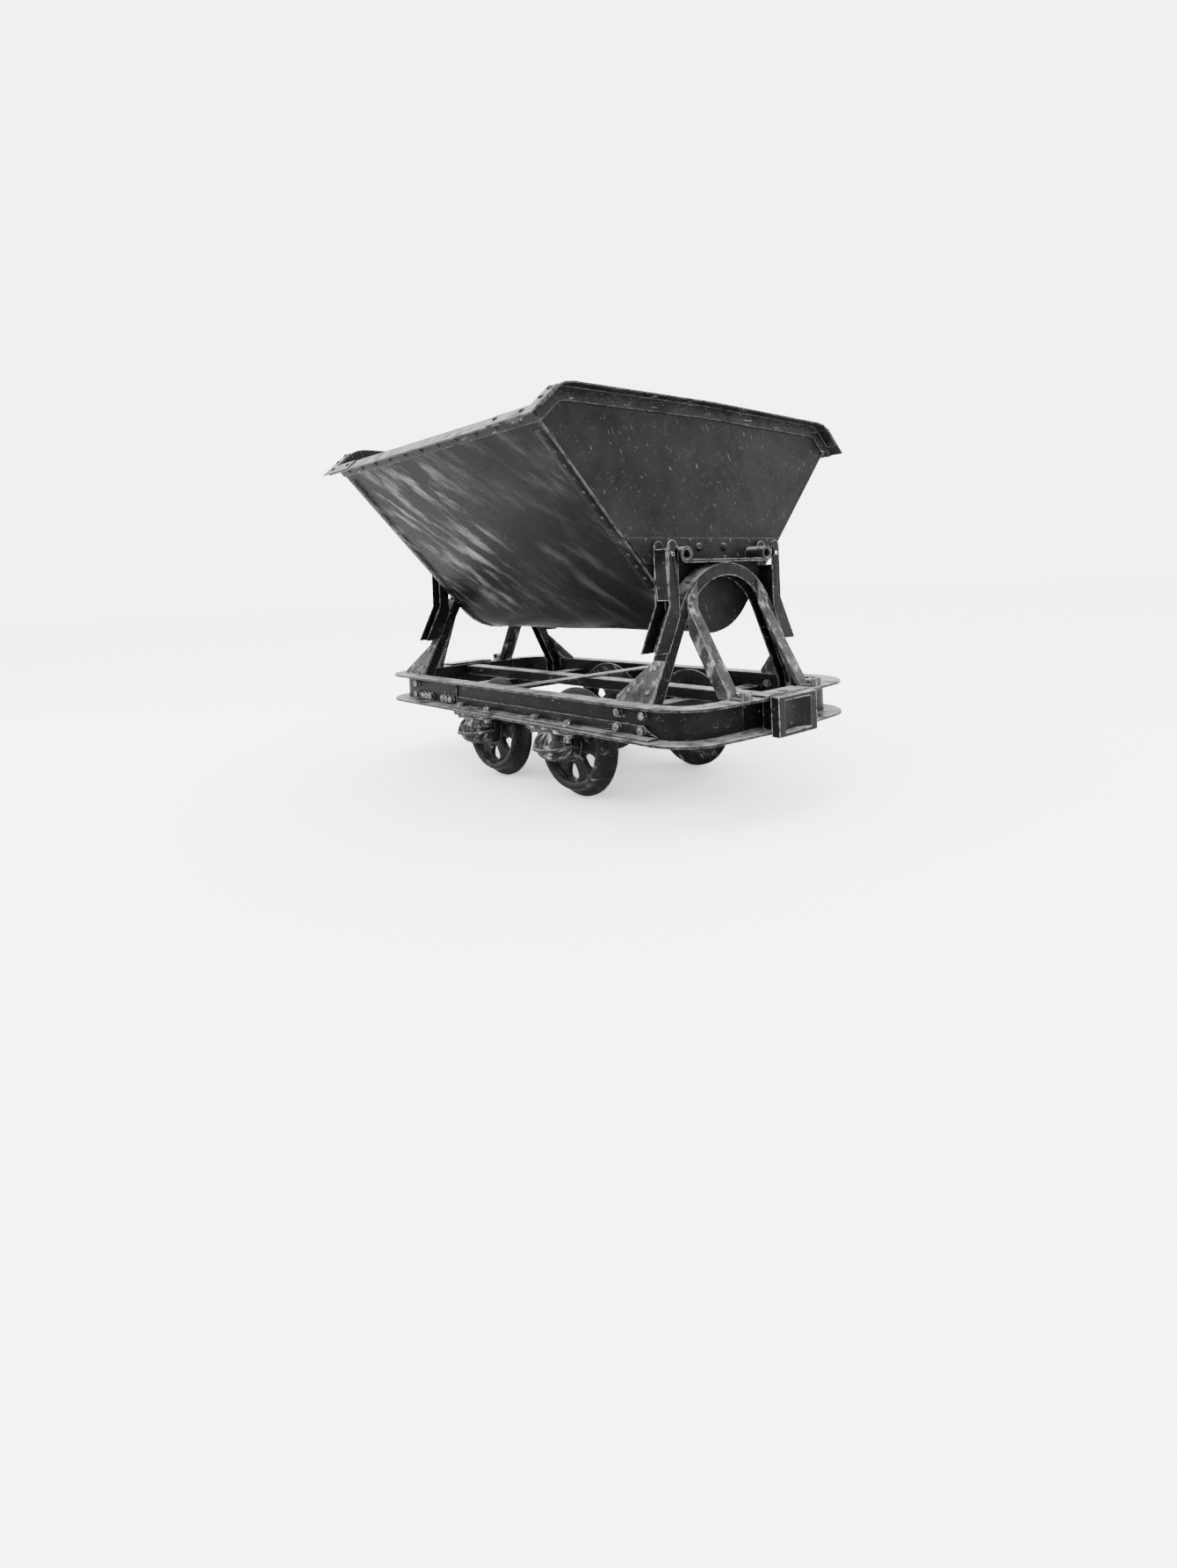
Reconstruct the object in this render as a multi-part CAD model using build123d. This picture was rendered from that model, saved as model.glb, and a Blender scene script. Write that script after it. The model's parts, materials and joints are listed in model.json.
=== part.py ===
# Mine cart: rocking tub on a narrow gauge frame.
# Millimetres. +X along the track, +Y to the right-hand side, +Z up, wheels stand on Z = 0.
import math
import os
from build123d import *

os.makedirs("parts", exist_ok=True)

# ---- driving sizes: tub -------------------------------------------------------------
tub_length = 1184.0          # outside of one end plate to outside of the other
tub_width = 1361.0           # across the sheet at the side lips
tub_depth = 633.0            # bottom of the sheet to the side lips
end_rise = 80.0              # end plates stand this much above the side lips
bottom_radius = 223.0        # round bottom of the sheet
sheet_t = 5.0
end_t = 6.0
shoulder = 111.0             # end plate top stops this far inside the lips
shoulder_run = 80.0          # straight part of the shoulder, square to the side sheet
crown_drop = 8.5             # end plate top is this much lower at its ends
rim_leg = 45.0
rim_t = 6.0

# ---- driving sizes: rocker ----------------------------------------------------------
rocker_radius = 243.0        # top of the trestle arch
bar_width = 70.0
bar_t = 10.0
eye_radius = 24.0
eye_bore = 15.0
tilt_limit = 45.0            # degrees each way
shim_t = 1.5
tub_drop = 219.0             # tub bottom hangs this far under the rocker bar

# ---- driving sizes: frame -----------------------------------------------------------
frame_reach = 275.0          # frame flange beyond the outside of each end plate
frame_width = 828.0          # across the flange tips
sole_h = 106.0
sole_flange = 62.0
web_t = 7.0
flange_t = 9.0
corner_radius = 95.0
head_slope = 0.084
head_half = 130.0            # half width of the head channel's flanges
trestle_h = 390.0            # frame top to rocker bar
channel_w = 50.0
channel_d = 40.0
channel_t = 6.0
post_t = 5.0
post_d = 42.0
post_deep = 52.0             # its flanges along the leg
post_rise = 54.0             # post top above the rocker bar's underside
gusset_t = 6.0

# ---- driving sizes: wheels ----------------------------------------------------------
wheelbase = 440.0
axle_shift = 25.0            # middle of the wheelbase, towards the front
gauge_face = 284.0           # inner edge of the tread from the centre line
tread_radius = 150.0
flange_height = 26.0
tread_w = 38.0
axle_radius = 25.0
journal_radius = 20.0
box_rise = 64.0              # axle centre to the underside of the frame
box_radius = 46.0

# ---- clearances ---------------------------------------------------------------------
wall_gap = 4.0               # post to the tub's end wall
eye_gap = 8.0                # rocker eye to the post flanges
journal_gap = 1.0
rivet_gap = 1.0              # tub rivet heads to the post
pin_gap = 0.05
side_gap = 1.0               # latch to the post flanges
box_gap = 10.0               # wheel hub to axle box

# ---- levels and planes that follow --------------------------------------------------
wheel_radius = tread_radius + flange_height
axle_z = wheel_radius
sole_z = axle_z + box_rise
deck_z = sole_z + sole_h
bar_z = deck_z + trestle_h
arch_z = bar_z - shim_t
tub_z = bar_z - tub_drop
lip_z = tub_z + tub_depth
top_z = lip_z + end_rise
end_x = tub_length / 2
frame_end = end_x + frame_reach
wall_x = end_x + end_t       # outside of the wall plate
bar_x = wall_x + bar_width
post_x0 = wall_x + wall_gap
post_x1 = post_x0 + channel_w + 2 * post_t
leg_x0 = post_x0 + post_t
leg_x1 = leg_x0 + channel_w
tip_y = frame_width / 2
web_y = tip_y - (sole_flange - web_t)
inner_y = web_y - web_t
foot_y = inner_y - gusset_t
head_x = frame_end - (sole_flange - web_t)
eye_y = rocker_radius * math.radians(tilt_limit) + 1.2
post_y = eye_y + eye_radius + eye_gap + post_d
arch_c = arch_z - rocker_radius


# ---- helpers ------------------------------------------------------------------------
def box(x0, x1, y0, y1, z0, z1):
    """Block between two corners."""
    size = Box(x1 - x0, y1 - y0, z1 - z0, align=(Align.MIN, Align.MIN, Align.MIN))
    return Pos(x0, y0, z0) * size


def poly(*points):
    """Flat outline through the given points."""
    return Polygon(*points, align=None)


def along_x(face, x0, x1):
    """Section drawn in Y and Z, run from x0 to x1."""
    return extrude(Pos(x0, 0, 0) * (Plane.YZ * face), amount=x1 - x0, dir=(1, 0, 0))


def along_y(face, y0, y1):
    """Section drawn in X and Z, run from y0 to y1."""
    flat = Plane(origin=(0, y0, 0), x_dir=(1, 0, 0), z_dir=(0, -1, 0)) * face
    return extrude(flat, amount=y1 - y0, dir=(0, 1, 0))


def rod(start, end, radius):
    """Round bar between two points."""
    way = Vector(*end) - Vector(*start)
    place = Plane(origin=start, z_dir=way)
    return place * Cylinder(radius, way.length, align=(Align.CENTER, Align.CENTER, Align.MIN))


def cone_head(base, way, radius, height):
    """Rivet head that stands on a face."""
    place = Plane(origin=base, z_dir=way)
    align = (Align.CENTER, Align.CENTER, Align.MIN)
    return place * Cone(radius, radius * 0.55, height, align=align)


def hex_nut(base, way, across, height):
    """Hexagon that stands on a face."""
    place = Plane(origin=base, z_dir=way)
    return extrude(place * RegularPolygon(across / 2, 6, major_radius=False), amount=height)


def strip(points, t):
    """Band of thickness t on the left of an open path, mitred at its bends."""
    count = len(points)
    normals = []
    for a, b in zip(points[:-1], points[1:]):
        length = math.hypot(b[0] - a[0], b[1] - a[1])
        normals.append((-(b[1] - a[1]) / length, (b[0] - a[0]) / length))
    far = []
    for i in range(count):
        n0 = normals[max(i - 1, 0)]
        n1 = normals[min(i, count - 2)]
        scale = t / (1 + n0[0] * n1[0] + n0[1] * n1[1])
        far.append((points[i][0] + (n0[0] + n1[0]) * scale, points[i][1] + (n0[1] + n1[1]) * scale))
    return poly(*(list(points) + far[::-1]))


def flip_x(shape):
    return mirror(shape, about=Plane.YZ)


def flip_y(shape):
    return mirror(shape, about=Plane.XZ)


def turn(shape):
    """Half turn about the vertical centre line."""
    return Rot(0, 0, 180) * shape


def without(shape, cutters):
    """Shape with every cutter taken out."""
    for cutter in cutters:
        shape = shape - cutter
    return shape


def save(name, *shapes):
    solids = []
    for shape in shapes:
        solids.extend(shape.solids())
    whole = solids[0] if len(solids) == 1 else Compound(children=solids)
    whole.label = name
    export_step(whole, "parts/" + name + ".step")
    print(name, len(solids), round(sum(s.volume for s in solids) / 1000, 1), "cm3")


# ---- tub section --------------------------------------------------------------------
tub_c = tub_z + bottom_radius
lip_up = lip_z - tub_c
half_lip = tub_width / 2
side_a = math.acos(bottom_radius / math.hypot(half_lip, lip_up)) - math.atan2(lip_up, half_lip)


def side_y(z, inset):
    """Half width of the tub section at a level."""
    return (bottom_radius - inset + (z - tub_c) * math.sin(side_a)) / math.cos(side_a)


def tub_face(inset, top):
    r = bottom_radius - inset
    ty = r * math.cos(side_a)
    tz = tub_c - r * math.sin(side_a)
    wy = side_y(top, inset)
    bottom = ThreePointArc((ty, tz), (0, tub_c - r), (-ty, tz))
    top_edges = [Line((-ty, tz), (-wy, top)), Line((-wy, top), (wy, top))]
    return make_face([Line((wy, top), (ty, tz)), bottom] + top_edges)


sheet = along_x(tub_face(0, lip_z) - tub_face(sheet_t, lip_z + 1), end_t - end_x, end_x - end_t)
top_y = half_lip - shoulder
bend = (half_lip - shoulder_run * math.cos(side_a), lip_z + shoulder_run * math.sin(side_a))
soft = (bend[0] - 22, top_z - crown_drop - 5)
half_crown = [(half_lip, lip_z), bend, soft, (top_y, top_z - crown_drop)]
crown_line = half_crown + [(0, top_z)] + [(-y, z) for y, z in reversed(half_crown)]
end_outline = tub_face(0, lip_z) + poly(*crown_line)
end_plate = along_x(end_outline, end_x - end_t, end_x)

# ---- rims ---------------------------------------------------------------------------
# side rim: an angle with one leg on the sheet and one square to it, at the left lip


def at_lip(out, down):
    """Point at the left lip, moved out square to the sheet and down along it."""
    y = -half_lip - out * math.cos(side_a) + down * math.sin(side_a)
    z = lip_z - out * math.sin(side_a) - down * math.cos(side_a)
    return (y, z)


rim_face = poly(at_lip(0, 0), at_lip(rim_leg, 0), at_lip(rim_leg, rim_t), at_lip(rim_t, rim_t),
                at_lip(rim_t, rim_leg), at_lip(0, rim_leg))
rim_left = along_x(rim_face, -end_x, end_x)

end_wall = along_x(strip(crown_line, rim_leg), end_x, end_x + rim_t)
end_shelf = along_x(strip(crown_line, rim_t), end_x + rim_t, end_x + rim_leg)
end_rim = end_wall + end_shelf

# corner strap: one flat bar cut to an elbow, on the side rim and up the shoulder
strap_t = 5.0
strap_back = 160.0
strap_up = shoulder_run - 2
strap_low = poly(at_lip(0, 0), at_lip(rim_leg, 0), at_lip(rim_leg, -strap_t), at_lip(0, -strap_t))
strap_high = poly(at_lip(-strap_up, 0), at_lip(rim_leg, 0), at_lip(rim_leg, -strap_t),
                  at_lip(-strap_up, -strap_t))
strap = along_x(strap_low, end_x - strap_back, end_x) + along_x(strap_high, end_x, end_x + rim_leg)

# ---- wall plate, rocker bar ---------------------------------------------------------
plate_lo = bar_z
plate_hi = bar_z + 78
plate_face = poly((side_y(plate_hi, 5), plate_hi), (side_y(plate_lo, 5), plate_lo),
                  (-side_y(plate_lo, 5), plate_lo), (-side_y(plate_hi, 5), plate_hi))
wall_plate = along_x(plate_face, end_x, wall_x)

eye_z = bar_z + eye_radius
bar_face = poly((-eye_y, bar_z), (eye_y, bar_z), (eye_y, bar_z + bar_t), (-eye_y, bar_z + bar_t))
for side in (-1, 1):
    bar_face = bar_face + Pos(side * eye_y, eye_z) * Circle(eye_radius)
for side in (-1, 1):
    bar_face = bar_face - Pos(side * eye_y, eye_z) * Circle(eye_bore)
rocker_bar = along_x(bar_face, wall_x, bar_x)
stud = rod((bar_x - 20, 0, bar_z + bar_t), (bar_x - 20, 0, bar_z + bar_t + 9), 7)
rocker_bar = rocker_bar + stud

shim_face = Circle(rocker_radius + shim_t) - Circle(rocker_radius)
shim_face = shim_face & poly((-9, 0), (9, 0), (9, rocker_radius + 9), (-9, rocker_radius + 9))
shim = along_x(Pos(0, arch_c) * shim_face, leg_x0, leg_x1)

# ---- trestle ------------------------------------------------------------------------
drop = arch_c - deck_z
leg_a = math.acos(rocker_radius / math.hypot(foot_y, drop)) - math.atan2(drop, foot_y)
foot_z = sole_z + flange_t + 6


def leg_y(z, inset):
    """Half width of the sloping leg at a level."""
    return (rocker_radius - inset - (z - arch_c) * math.sin(leg_a)) / math.cos(leg_a)


def leg_level(y, inset):
    """Level where the sloping leg reaches a half width."""
    return arch_c + (rocker_radius - inset - y * math.cos(leg_a)) / math.sin(leg_a)


def trestle_face(inset, low):
    r = rocker_radius - inset
    ty = r * math.cos(leg_a)
    tz = arch_c + r * math.sin(leg_a)
    fy = foot_y - inset
    fz = leg_level(fy, inset)
    half = [(ty, tz), (fy, fz), (fy, low)]
    legs = poly(*(half + [(-y, z) for y, z in reversed(half)]))
    cap = Circle(r) & poly((-r, 0), (r, 0), (r, r), (-r, r))
    return legs + Pos(0, arch_c) * cap


trestle_web = along_x(trestle_face(0, foot_z) - trestle_face(channel_t, foot_z - 1), leg_x0, leg_x1)
trestle_ring = trestle_face(0, foot_z) - trestle_face(channel_d, foot_z - 1)
trestle = trestle_web + along_x(trestle_ring, leg_x0, leg_x0 + channel_t)
trestle = trestle + along_x(trestle_ring, leg_x1 - channel_t, leg_x1)
slot_x = (leg_x0 + leg_x1) / 2
for turn_deg in (-52, -40, 40, 52):
    cutter = Pos(slot_x, 0, arch_c) * Rot(turn_deg, 0, 0) * Pos(0, 0, rocker_radius) * Box(22, 9, 30)
    trestle = trestle - cutter

# ---- posts --------------------------------------------------------------------------
post_top = bar_z + post_rise
post_low = bar_z - 0.66 * trestle_h
lap = 2.0
off = lap - post_deep
kink = leg_level(post_y, off)
kink_in = leg_level(post_y - post_d, lap)
out_line = [(-leg_y(post_low, off), post_low), (-post_y, kink), (-post_y, post_top - 8)]
in_line = [(-post_y + post_d, post_top - 8), (-post_y + post_d, kink_in), (-leg_y(post_low, lap), post_low)]
cheek = poly(*(out_line + in_line))
nose = Pos(-post_y + post_d / 2, post_top - 8) * Circle(post_d / 2)
cheek = cheek + nose
web_line = [(-leg_y(post_low, 0), post_low), (-post_y + post_d, leg_level(post_y - post_d, 0)),
            (-post_y + post_d, bar_z - 12)]
post_web = strip(web_line, post_t)
post = along_x(post_web, post_x0, post_x1)
post = post + along_x(cheek, post_x0, post_x0 + post_t) + along_x(cheek, post_x1 - post_t, post_x1)

# latch: a hanging lever in the mouth of the post, with a nose towards the rocker eye
pin_z = bar_z + 26
pin_r = 6.0
pin_y = -post_y + 15
latch_x0 = post_x0 + post_t + side_gap
latch_x1 = post_x1 - post_t - side_gap
latch_t = 6.0
latch_top = pin_z + 16
latch_low = kink + 14
latch_face = poly((-post_y - 2, latch_top), (-post_y - 2, pin_z - 34), (-post_y + 4, latch_low),
                  (-post_y + 4 + latch_t, latch_low), (-post_y - 2 + latch_t, pin_z - 34),
                  (-post_y - 2 + latch_t, latch_top - latch_t), (-post_y + post_d - 3, latch_top - latch_t),
                  (-post_y + post_d - 3, latch_top))
latch_hub = poly((-post_y, pin_z - 9), (pin_y, pin_z - 10), (pin_y, latch_top - 2), (-post_y, latch_top - 2))
latch_hub = latch_hub + Pos(pin_y, pin_z) * Circle(10)
latch = along_x(latch_face, latch_x0, latch_x1) + along_x(latch_hub, latch_x0, latch_x1)
latch = latch + rod((post_x0 - 2, pin_y, pin_z), (post_x1 + 6, pin_y, pin_z), pin_r)
post = post - rod((post_x0 - 1, pin_y, pin_z), (post_x1 + 1, pin_y, pin_z), pin_r + pin_gap)

# ---- gussets ------------------------------------------------------------------------
gusset_h = 112.0
gusset_l = 95.0
g_face = trestle_face(-gusset_t, foot_z) - trestle_face(0, foot_z - 1)
g_face = g_face & poly((-foot_y - 60, foot_z), (-60, foot_z), (-60, deck_z + gusset_h),
                       (-foot_y - 60, deck_z + gusset_h))
gusset = along_x(g_face, leg_x0 - gusset_l, leg_x1)
slope_cut = poly((leg_x0 - gusset_l - 5, deck_z + 8), (leg_x0 + 12, deck_z + gusset_h + 1),
                 (leg_x0 - gusset_l - 5, deck_z + gusset_h + 1))
gusset = gusset - along_y(slope_cut, -foot_y - 80, 0)
gusset = gusset - box(leg_x0 - gusset_l - 5, leg_x0, -foot_y - 80, 0, foot_z - 5, deck_z + 1)

# ---- struts -------------------------------------------------------------------------
strut_y0 = -190.0
strut_y1 = -146.0
strut_t = 6.0
arch_side = arch_c + math.sqrt(rocker_radius ** 2 - strut_y0 ** 2)
strut_top = arch_side + 40
strut_end = head_x + 36
strut_line = [(leg_x1, strut_top), (leg_x1, arch_side - 42), (head_x - 12, deck_z), (strut_end, deck_z)]
strut_face = strip(strut_line, strut_t)
strut = along_y(strut_face, strut_y0, strut_y1)
over_arch = poly((strut_y0 - 1, arch_c), (strut_y1 + 1, arch_c), (strut_y1 + 1, bar_z),
                 (strut_y0 - 1, bar_z))
over_arch = over_arch - Pos(0, arch_c) * Circle(rocker_radius - 6)
strut = strut - along_x(over_arch, leg_x1 - 1, leg_x1 + 60)
back = strip([(leg_x1, arch_side - 42), (head_x - 12, deck_z)], -34)
back = back & poly((leg_x1 + 3, deck_z + 2), (strut_end, deck_z + 2), (strut_end, strut_top),
                   (leg_x1 + 3, strut_top))
strut = strut + along_y(back, strut_y0, strut_y0 + strut_t)
tab = box(strut_end - strut_t, strut_end, strut_y0, strut_y1, deck_z, deck_z + 26)
strut = strut + tab

# ---- wheels and axles ---------------------------------------------------------------
hub_in = gauge_face - 29
hub_out = gauge_face + tread_w + 13
rim_r = tread_radius - 22
profile = poly(
    (axle_radius, hub_in), (48, hub_in), (52, gauge_face + 2), (rim_r - 4, gauge_face + 8),
    (rim_r, gauge_face - 22), (wheel_radius - 6, gauge_face - 22), (wheel_radius, gauge_face - 16),
    (wheel_radius, gauge_face - 9), (wheel_radius - 8, gauge_face - 2),
    (tread_radius + 2, gauge_face + 3), (tread_radius - 2, gauge_face + tread_w),
    (rim_r + 4, gauge_face + tread_w), (rim_r - 2, gauge_face + 22), (52, gauge_face + 16),
    (46, hub_out), (axle_radius, hub_out))
wheel = revolve(profile, axis=Axis.Y)
for k in range(6):
    hole = along_y(Pos(0, 90) * Ellipse(19, 27), hub_in - 5, hub_out + 5)
    wheel = wheel - Rot(0, 60 * k, 0) * hole
journal_end = web_y + 36
axle = rod((0, -hub_out, 0), (0, hub_out, 0), axle_radius)
axle = axle + rod((0, -journal_end, 0), (0, journal_end, 0), journal_radius)

# ---- axle box -----------------------------------------------------------------------
box_in = hub_out + box_gap
box_mid = web_y + 34
plate_t = 12.0
bolt_half = 85.0
bore_end = journal_end + 3
hood = rod((0, box_in, 0), (0, box_mid, 0), box_radius) + Pos(0, box_mid, 0) * Sphere(box_radius)
bore = rod((0, box_in - 1, 0), (0, bore_end, 0), journal_radius + journal_gap)
rim_disc = Pos(0, box_mid, 0) * Cylinder(box_radius + 14, 12) + box(-box_radius - 4, box_radius + 4,
                                                                     box_in, box_mid, -6, 6)
whole_box = (hood + rim_disc - bore) & box(-200, 200, box_in, 600, -200, 200)
neck = box(-box_radius + 8, box_radius - 8, box_in, box_mid + 10, 0, box_rise - plate_t) - bore
flange = box(-bolt_half - 24, bolt_half + 24, inner_y, tip_y - 2, box_rise - plate_t, box_rise)
rib_face = poly((box_mid, box_rise - plate_t), (box_mid, 0), (box_mid + 44, 20),
                (box_mid + 14, box_rise - plate_t))
rib = along_x(rib_face, -7, 7)
upper = (whole_box & box(-200, 200, 0, 600, 0, 200)) + neck + flange + (rib - bore)
lower = whole_box & box(-200, 200, 0, 600, -200, 0)
for x in (-bolt_half, bolt_half):
    upper = upper - rod((x, web_y + 28, box_rise - plate_t - 1), (x, web_y + 28, box_rise + 1), 8)

# ---- frame channels -----------------------------------------------------------------
def plan(o):
    """Plan outline of the frame, o outside the outer face of the web."""
    y = web_y + o
    x = head_x + o
    corner = x - head_slope * y
    flat = poly((x, 0), (corner, y), (-corner, y), (-x, 0), (-corner, -y), (corner, -y))
    corners = [v for v in flat.vertices() if abs(v.Y) > 1]
    return fillet(corners, corner_radius + o)


def ring(outer, inner, z0, z1):
    return extrude(Pos(0, 0, z0) * (plan(outer) - plan(inner)), amount=z1 - z0)


tip = sole_flange - web_t
loop = ring(0, -web_t, sole_z, deck_z)
loop = loop + ring(tip, -web_t, sole_z, sole_z + flange_t) + ring(tip, -web_t, deck_z - flange_t, deck_z)
side_left = loop & box(-2000, 2000, -2000, -head_half, 0, 2000)
head_web = ring(-web_t, -2 * web_t, sole_z, deck_z) & box(0, 2000, -head_half - 80, head_half + 80, 0, 2000)
head_flanges = ring(tip, -2 * web_t, sole_z, sole_z + flange_t)
head_flanges = head_flanges + ring(tip, -2 * web_t, deck_z - flange_t, deck_z)
head_flanges = head_flanges & box(0, 2000, -head_half + 2, head_half - 2, 0, 2000)
head = head_web + head_flanges

pin_hole = 14.0
pin_hole_x = head_x + 34
buffer = box(head_x + 2, frame_end + 2, -58, 58, sole_z + flange_t, deck_z - flange_t)
buffer = buffer - extrude(Pos(0, 0, sole_z) * plan(0), amount=sole_h)
face_block = box(frame_end + 1, frame_end + 28, -92, 92, sole_z - 4, deck_z + 4)
scoop = Pos(frame_end + 110, 0, sole_z + sole_h / 2) * Cylinder(104, sole_h - 16)
buffer = buffer + (face_block - scoop)
bore_cut = rod((pin_hole_x, 0, sole_z - 20), (pin_hole_x, 0, deck_z + 20), pin_hole)
wide_cut = rod((pin_hole_x, 0, sole_z - 20), (pin_hole_x, 0, deck_z + 20), pin_hole + 2)
buffer = buffer - bore_cut
head = head - wide_cut
head_plate = box(head_x - 10, frame_end - 2, -104, 104, deck_z, deck_z + 8) - wide_cut

# ---- reinforcing pieces -------------------------------------------------------------
angle_setback = 182.0        # front end of the angle, inside the frame end
fish_setback = 191.0
fish_length = 331.0
angle_x1 = frame_end - angle_setback
fish_x0 = -(frame_end - fish_setback)
angle_x0 = fish_x0 + fish_length
angle = box(angle_x0, angle_x1, -web_y - 6, -web_y, sole_z + flange_t, sole_z + flange_t + 34)
angle = angle + box(angle_x0, angle_x1, -web_y - 44, -web_y, sole_z + flange_t, sole_z + flange_t + 6)
taper = poly((angle_x1 - 60, sole_z + flange_t + 36), (angle_x1 + 1, sole_z + flange_t + 36),
             (angle_x1 + 1, sole_z + flange_t + 6), (angle_x1 - 20, sole_z + flange_t + 14))
angle = angle - along_y(taper, -web_y - 50, -web_y)
fish = box(fish_x0, angle_x0, -web_y - 6, -web_y, sole_z + flange_t + 2, deck_z - flange_t - 6)

draw_z = deck_z - 6
draw_x = head_x - 2 * web_t - head_slope * 30 - 0.5
draw_bar = box(-draw_x, draw_x, -30, 30, draw_z - 6, draw_z)
draw_bar = draw_bar + box(-draw_x, draw_x, -30, -24, draw_z - 36, draw_z)
draw_bar = draw_bar + box(-draw_x, draw_x, 24, 30, draw_z - 36, draw_z)
tie = box(-25, 25, -inner_y, inner_y, draw_z, deck_z)
bearer_x = leg_x0 - gusset_l - 62
bearer_z = draw_z - 36
bearer = box(bearer_x, bearer_x + 54, -inner_y, inner_y, bearer_z - 6, bearer_z)
bearer = bearer + box(bearer_x, bearer_x + 6, -inner_y, inner_y, bearer_z - 50, bearer_z)
bearer = bearer + box(bearer_x + 48, bearer_x + 54, -inner_y, inner_y, bearer_z - 50, bearer_z)

# ---- fasteners ----------------------------------------------------------------------
box_bolts = []
box_shanks = []
grip_top = sole_z + flange_t + 6
for bx in (axle_shift - wheelbase / 2, axle_shift + wheelbase / 2):
    for dx in (-bolt_half, bolt_half):
        for side in (-1, 1):
            at_y = side * (web_y + 28)
            low = sole_z - plate_t
            shank = rod((bx + dx, at_y, low), (bx + dx, at_y, grip_top), 8)
            box_shanks.append(shank)
            bolt = rod((bx + dx, at_y, low - 8), (bx + dx, at_y, grip_top + 18), 8)
            bolt = bolt + hex_nut((bx + dx, at_y, grip_top), (0, 0, 1), 26, 12)
            bolt = bolt + hex_nut((bx + dx, at_y, low), (0, 0, -1), 26, 9)
            box_bolts.append(bolt)

web_bolts = []
web_shanks = []
leg_mid = (leg_x0 + leg_x1) / 2
low_row = sole_z + flange_t + 22
high_row = sole_z + 72
angle_face = web_y + 6
leg_face = foot_y - channel_t
spots = []                   # X, Z, outer face, inner face
for z, face in ((low_row, angle_face), (high_row, web_y)):
    spots.append((leg_mid, z, face, leg_face))
    spots.append((leg_mid - 100, z, face, inner_y))
for z in (low_row, high_row):
    spots.append((-leg_mid, z, angle_face, leg_face))
row = [-bearer_x + 20 + 28 * k for k in range(3)] + [-bearer_x - 72 - 28 * k for k in range(3)]
for x in row:
    spots.append((x, low_row, angle_face, inner_y))
for x, z, outer, inner in spots:
    for side in (-1, 1):
        bolt = rod((x, side * (inner - 14), z), (x, side * (outer + 16), z), 7)
        bolt = bolt + hex_nut((x, side * outer, z), (0, side, 0), 23, 11)
        bolt = bolt + hex_nut((x, side * inner, z), (0, -side, 0), 23, 9)
        web_bolts.append(bolt)
        web_shanks.append(rod((x, side * inner, z), (x, side * outer, z), 7))

side_cuts = [s for s in box_shanks + web_shanks if s.center().Y < 0]
side_left = without(side_left, side_cuts)
front_cuts = [s for s in side_cuts if s.center().X > 0]
trestle = without(trestle, front_cuts)
trestle = without(trestle, [flip_y(s) for s in front_cuts])
gusset = without(gusset, front_cuts)
angle = without(angle, side_cuts)
fish = without(fish, side_cuts)

foot_bolts = []
foot_x = strut_end - 24
for sx in (-1, 1):
    for sy in (-1, 1):
        at = (sx * foot_x, sy * 168, deck_z + strut_t)
        foot_bolts.append(hex_nut(at, (0, 0, 1), 26, 13) + rod(at, (at[0], at[1], at[2] + 20), 7))
strut_rivets = []
for sx in (-1, 1):
    for sy in (-1, 1):
        for y, z in ((168, arch_side - 6), (180, arch_side - 30)):
            strut_rivets.append(cone_head((sx * (leg_x1 + strut_t), sy * y, z), (sx, 0, 0), 9, 6))

wall_rivets = []
for sx in (-1, 1):
    for y in (-58, 58):
        wall_rivets.append(cone_head((sx * wall_x, y, bar_z + 48), (sx, 0, 0), 14, 9))
    for k in range(-3, 4):
        at = (sx * wall_x, k * 96, plate_hi - 10)
        wall_rivets.append(cone_head(at, (sx, 0, 0), 6, wall_gap - rivet_gap))
    for k in range(-5, 6):
        y = k * (top_y - 20) / 5
        at = (sx * (end_x + rim_t), y, top_z - crown_drop * abs(y) / top_y - 24)
        wall_rivets.append(cone_head(at, (sx, 0, 0), 9, 6))

rim_rivets = []
rim_step = (end_x - 72) / 5
normal = (0, -math.cos(side_a), -math.sin(side_a))
for k in range(-5, 6):
    z = lip_z - 24
    y = -side_y(z, -rim_t)
    head_cone = cone_head((k * rim_step, y, z), normal, 8, 5)
    rim_rivets.append(head_cone)
    rim_rivets.append(flip_y(head_cone))
up = (0, -math.sin(side_a), math.cos(side_a))
strap_spots = [(end_x - strap_back + 26, rim_leg / 2), (end_x - 14, rim_leg / 2), (end_x + rim_leg / 2, -26),
               (end_x + rim_leg / 2, -strap_up + 12)]
for x, out in strap_spots:
    y, z = at_lip(out, -strap_t)
    head_cone = cone_head((x, y, z), up, 9, 6)
    for shape in (head_cone, flip_x(head_cone)):
        rim_rivets.append(shape)
        rim_rivets.append(flip_y(shape))

gusset_rivets = []
leg_n = (0, -math.cos(leg_a), math.sin(leg_a))
for z in (deck_z + 26, deck_z + gusset_h - 18):
    y = -leg_y(z, -gusset_t)
    head_cone = cone_head((leg_mid, y, z), leg_n, 10, 7)
    for shape in (head_cone, flip_x(head_cone)):
        gusset_rivets.append(shape)
        gusset_rivets.append(flip_y(shape))

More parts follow.
